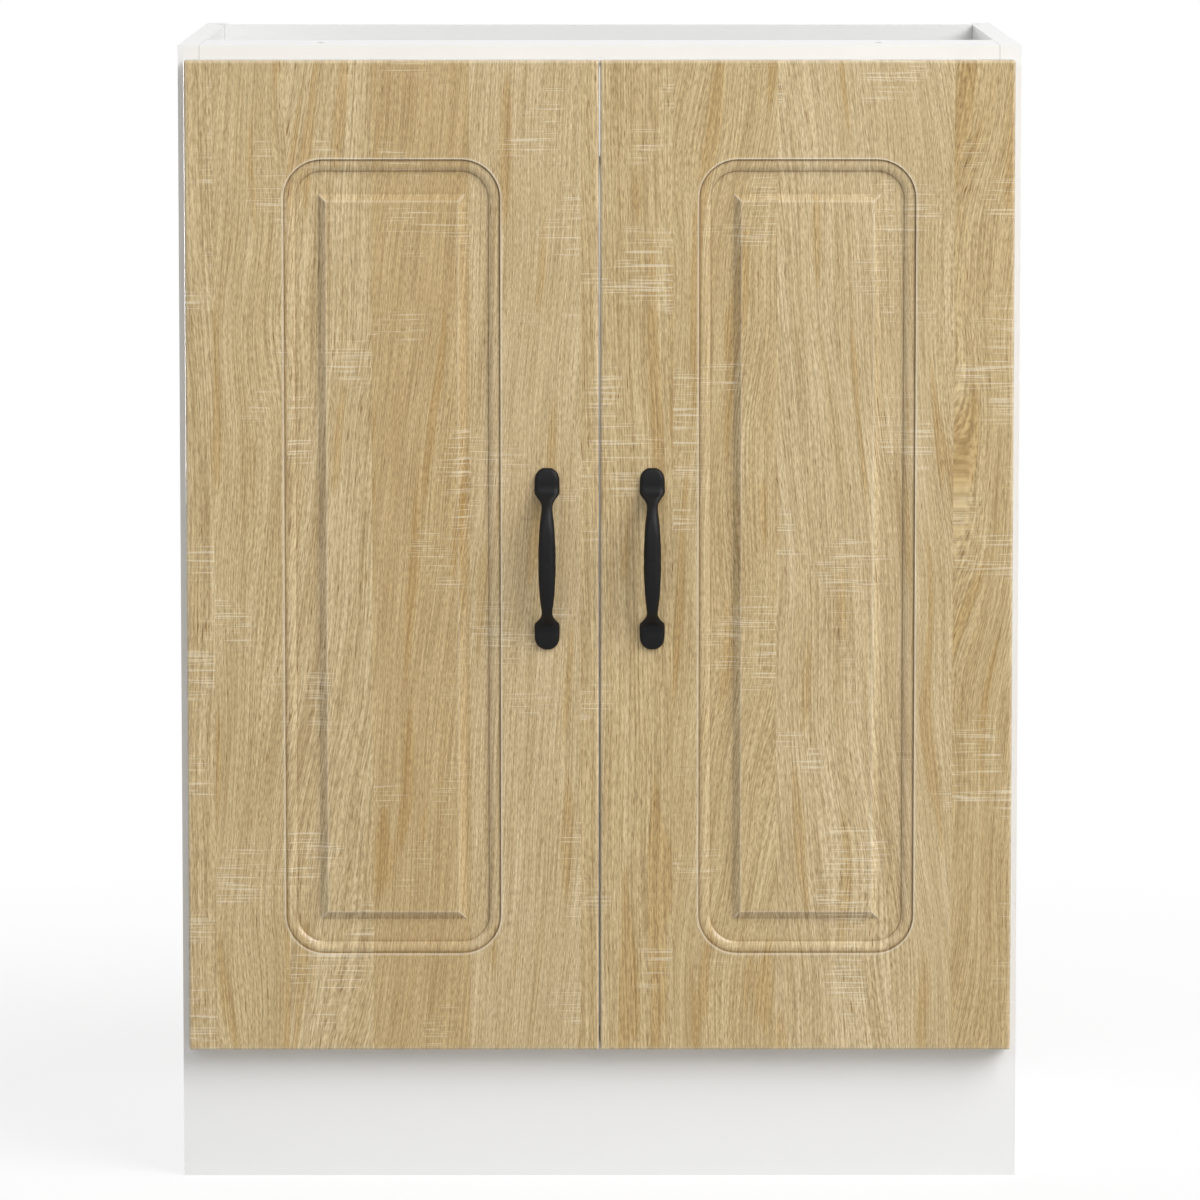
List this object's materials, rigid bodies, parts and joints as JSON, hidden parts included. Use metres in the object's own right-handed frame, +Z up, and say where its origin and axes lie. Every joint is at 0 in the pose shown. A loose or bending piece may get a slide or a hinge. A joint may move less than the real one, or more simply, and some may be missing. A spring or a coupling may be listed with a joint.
{
  "type": "sink base cabinet",
  "caption": "Floor-standing kitchen sink base cabinet with two raised-panel doors on concealed hinges, bow handles, a flush plinth, and an open top for the sink.",
  "frame": {"origin": "on the floor, under the middle of the whole cabinet with its doors and handles", "axes": "+Z up, the doors face -Y, +X to the right for someone who looks at the doors"},
  "size_m": [0.6, 0.4871, 0.815],
  "materials": {
    "white_board": "particle board faced with smooth white melamine",
    "white_hardboard": "thin hardboard, lacquered white on the inner face, raw brown behind",
    "oak_foil_board": "fibreboard wrapped in a light oak foil, satin",
    "black_metal": "cast metal, satin black",
    "nickel_plated_steel": "nickel-plated sheet steel",
    "zinc_plated_steel": "zinc-plated steel",
    "zinc": "bare cast zinc",
    "beech": "raw turned beech",
    "white_plastic": "smooth",
    "clear_rubber": "soft, translucent"
  },
  "bodies": {
    "carcass": {"side_panel_left": "white_board", "side_panel_right": "white_board", "bottom_panel": "white_board", "plinth_board": "white_board", "front_rail": "white_board", "back_rail_upper": "white_board", "back_rail_lower": "white_board", "back_panel": "white_hardboard", "back_nails": "zinc_plated_steel", "cam_locks": "zinc", "cam_bolts": "zinc_plated_steel", "dowels": "beech", "cam_caps": "white_plastic", "plinth_brackets": "zinc_plated_steel", "bracket_screws": "zinc_plated_steel", "hinge_arms": "nickel_plated_steel", "arm_pins": "nickel_plated_steel", "arm_screws": "nickel_plated_steel", "mounting_plates": "nickel_plated_steel", "plate_screws": "zinc_plated_steel"},
    "left_outer_links": {"outer_links_left": "nickel_plated_steel"},
    "left_door": {"door_left": "oak_foil_board", "handle_left": "black_metal", "handle_screws_left": "zinc_plated_steel", "bumper_left": "clear_rubber", "hinge_cups_left": "nickel_plated_steel", "cup_pins_left": "nickel_plated_steel", "cup_screws_left": "zinc_plated_steel"},
    "left_inner_links": {"inner_links_left": "nickel_plated_steel"},
    "right_outer_links": {"outer_links_right": "nickel_plated_steel"},
    "right_door": {"door_right": "oak_foil_board", "handle_right": "black_metal", "handle_screws_right": "zinc_plated_steel", "bumper_right": "clear_rubber", "hinge_cups_right": "nickel_plated_steel", "cup_pins_right": "nickel_plated_steel", "cup_screws_right": "zinc_plated_steel"},
    "right_inner_links": {"inner_links_right": "nickel_plated_steel"}
  },
  "joints": [
    {"name": "left_outer_link_pivot", "type": "hinge", "parent": "carcass", "child": "left_outer_links", "pos_m": [-0.2675, -0.1815, 0.45], "axis": [0, 0, -1], "range_deg": [-28.2, 0]},
    {"name": "left_door_swing", "type": "hinge", "parent": "left_outer_links", "child": "left_door", "pos_m": [-0.2872, -0.2009, 0.45], "axis": [0, 0, -1], "range_deg": [0, 128.1]},
    {"name": "left_inner_link_pivot", "type": "hinge", "parent": "left_door", "child": "left_inner_links", "pos_m": [-0.2854, -0.2064, 0.45], "axis": [0, 0, -1], "range_deg": [-110.1, 0]},
    {"name": "right_outer_link_pivot", "type": "hinge", "parent": "carcass", "child": "right_outer_links", "pos_m": [0.2675, -0.1815, 0.45], "axis": [0, 0, 1], "range_deg": [-28.2, 0]},
    {"name": "right_door_swing", "type": "hinge", "parent": "right_outer_links", "child": "right_door", "pos_m": [0.2872, -0.2009, 0.45], "axis": [0, 0, 1], "range_deg": [0, 128.1]},
    {"name": "right_inner_link_pivot", "type": "hinge", "parent": "right_door", "child": "right_inner_links", "pos_m": [0.2854, -0.2064, 0.45], "axis": [0, 0, 1], "range_deg": [-110.1, 0]}
  ],
  "couplings": [
    {"joint": "left_outer_link_pivot", "follows": "left_door_swing", "ratio": -0.21936},
    {"joint": "left_inner_link_pivot", "follows": "left_door_swing", "ratio": -0.8587},
    {"joint": "right_outer_link_pivot", "follows": "right_door_swing", "ratio": -0.21936},
    {"joint": "right_inner_link_pivot", "follows": "right_door_swing", "ratio": -0.8587}
  ]
}
